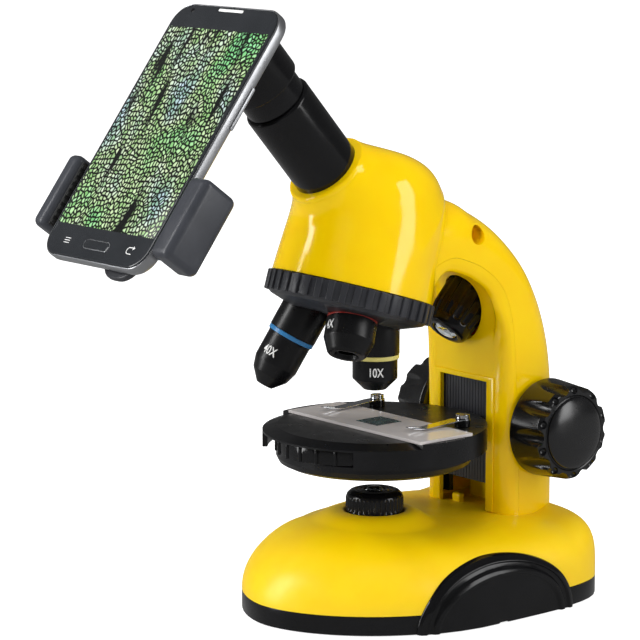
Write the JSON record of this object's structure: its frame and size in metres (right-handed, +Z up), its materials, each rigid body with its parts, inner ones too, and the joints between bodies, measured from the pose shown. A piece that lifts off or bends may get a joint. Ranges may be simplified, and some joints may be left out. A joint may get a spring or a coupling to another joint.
{
  "type": "kids microscope",
  "caption": "Toy microscope with a domed base, curved arm, tilting-turret head, round stage on a focus rack, two lamps and a clamp that holds a phone over the eyepiece.",
  "frame": {"origin": "on the table straight under the optical axis, at the bottom of the middle foot", "axes": "+X to the user's right, +Y back towards the arm, +Z up"},
  "size_m": [0.1094, 0.2115, 0.227],
  "materials": {
    "yellow_shell": "high gloss",
    "black_gloss": "gloss",
    "black_satin": "satin",
    "dark_grey": "fine matte",
    "black_rubber": "matte",
    "chrome": "polished",
    "steel": "ground",
    "lens_glass": "polished",
    "slide_glass": "polished",
    "specimen": "gloss",
    "red_band": "gloss",
    "yellow_band": "gloss",
    "blue_band": "gloss",
    "blue_gel": "clear",
    "cell_metal": "satin",
    "phone_metal": "satin",
    "phone_glass": "polished",
    "phone_screen": "lit"
  },
  "bodies": {
    "frame": {"base_plate": "black_satin", "base_shell": "yellow_shell", "side_arch_right": "black_satin", "side_arch_left": "black_satin", "rubber_feet": "black_rubber", "battery_tray": "black_satin", "battery_cells": "cell_metal", "battery_door": "black_satin", "arm_shell_right": "yellow_shell", "arm_shell_left": "yellow_shell", "front_cover": "yellow_shell", "slot_frame": "yellow_shell", "column_rails": "black_satin", "head_housing": "yellow_shell", "turret_plate": "black_satin", "prism": "lens_glass", "arm_screw": "dark_grey", "lamp_socket": "black_satin", "eyepiece_tube": "black_satin"},
    "stage": {"stage_slider": "dark_grey", "stage_arm": "black_satin", "stage_top": "black_satin", "stage_under": "black_satin", "clip_posts": "black_gloss", "clip_screws": "chrome"},
    "filter": {"filter_wheel": "black_gloss", "filter_gels": "blue_gel"},
    "right_clip": {"clip_right": "chrome"},
    "left_clip": {"clip_left": "chrome"},
    "slide": {"specimen_slide": "slide_glass", "cover_slip": "specimen"},
    "focus": {"focus_shaft": "steel", "focus_knob_right": "black_gloss", "focus_knob_left": "black_gloss"},
    "turret": {"turret_disc": "dark_grey", "objective_4x": "black_gloss", "objective_10x": "black_gloss", "objective_40x": "black_gloss", "band_4x": "red_band", "band_10x": "yellow_band", "band_40x": "blue_band", "objective_lenses": "lens_glass"},
    "eyepiece": {"eyepiece_barrel": "black_gloss", "eyepiece_lens": "lens_glass"},
    "holder": {"holder_plate": "dark_grey", "holder_guide": "dark_grey", "right_jaw": "dark_grey", "right_pad": "black_rubber"},
    "jaw": {"left_jaw": "dark_grey", "left_pad": "black_rubber"},
    "phone": {"phone_body": "phone_metal", "phone_glass": "phone_glass", "phone_screen": "phone_screen", "phone_button": "phone_glass"},
    "top_lamp": {"upper_lamp": "black_gloss", "upper_lens": "lens_glass"},
    "base_lamp": {"lower_lamp": "black_gloss", "lower_lens": "lens_glass"}
  },
  "joints": [
    {"name": "focus_turn", "type": "hinge", "parent": "frame", "child": "focus", "pos_m": [0, 0.0635, 0.0633], "axis": [1, 0, 0], "range_deg": [-80, 80]},
    {"name": "stage_lift", "type": "slide", "parent": "frame", "child": "stage", "axis": [0, 0, 1], "range_m": [-0.007, 0.007]},
    {"name": "turret_spin", "type": "hinge", "parent": "frame", "child": "turret", "pos_m": [0, 0, 0.1588], "axis": [0, 0.2924, 0.9563], "continuous": true},
    {"name": "filter_spin", "type": "hinge", "parent": "stage", "child": "filter", "pos_m": [0, -0.011, 0.0625], "axis": [0, 0, 1], "continuous": true},
    {"name": "right_clip_swing", "type": "hinge", "parent": "stage", "child": "right_clip", "pos_m": [0.0245, 0.022, 0.0715], "axis": [0, 0, 1], "range_deg": [-40, 30]},
    {"name": "left_clip_swing", "type": "hinge", "parent": "stage", "child": "left_clip", "pos_m": [-0.0245, 0.022, 0.0715], "axis": [0, 0, 1], "range_deg": [-30, 40]},
    {"name": "slide_shift", "type": "slide", "parent": "stage", "child": "slide", "axis": [1, 0, 0], "range_m": [-0.008, 0.008]},
    {"name": "eyepiece_pull", "type": "slide", "parent": "frame", "child": "eyepiece", "axis": [0, -0.6626, 0.749], "range_m": [0, 0.012]},
    {"name": "holder_swivel", "type": "hinge", "parent": "eyepiece", "child": "holder", "pos_m": [0, 0, 0.1395], "axis": [0, -0.6626, 0.749], "range_deg": [-45, 45]},
    {"name": "jaw_open", "type": "slide", "parent": "holder", "child": "jaw", "axis": [-1, 0, 0], "range_m": [0, 0.012], "stiffness_N_per_m": 150, "springref_m": -0.012},
    {"name": "phone_shift", "type": "slide", "parent": "holder", "child": "phone", "axis": [0, 0.5976, 0.8018], "range_m": [-0.008, 0.008]},
    {"name": "upper_lamp_twist", "type": "hinge", "parent": "frame", "child": "top_lamp", "pos_m": [0, 0.0348, 0.0997], "axis": [0, 0.6691, 0.7431], "range_deg": [0, 60]},
    {"name": "lower_lamp_twist", "type": "hinge", "parent": "frame", "child": "base_lamp", "pos_m": [0, 0, 0.04], "axis": [0, 0, 1], "range_deg": [0, 60]}
  ],
  "couplings": [
    {"joint": "stage_lift", "follows": "focus_turn", "m_per_rad": -0.005}
  ]
}
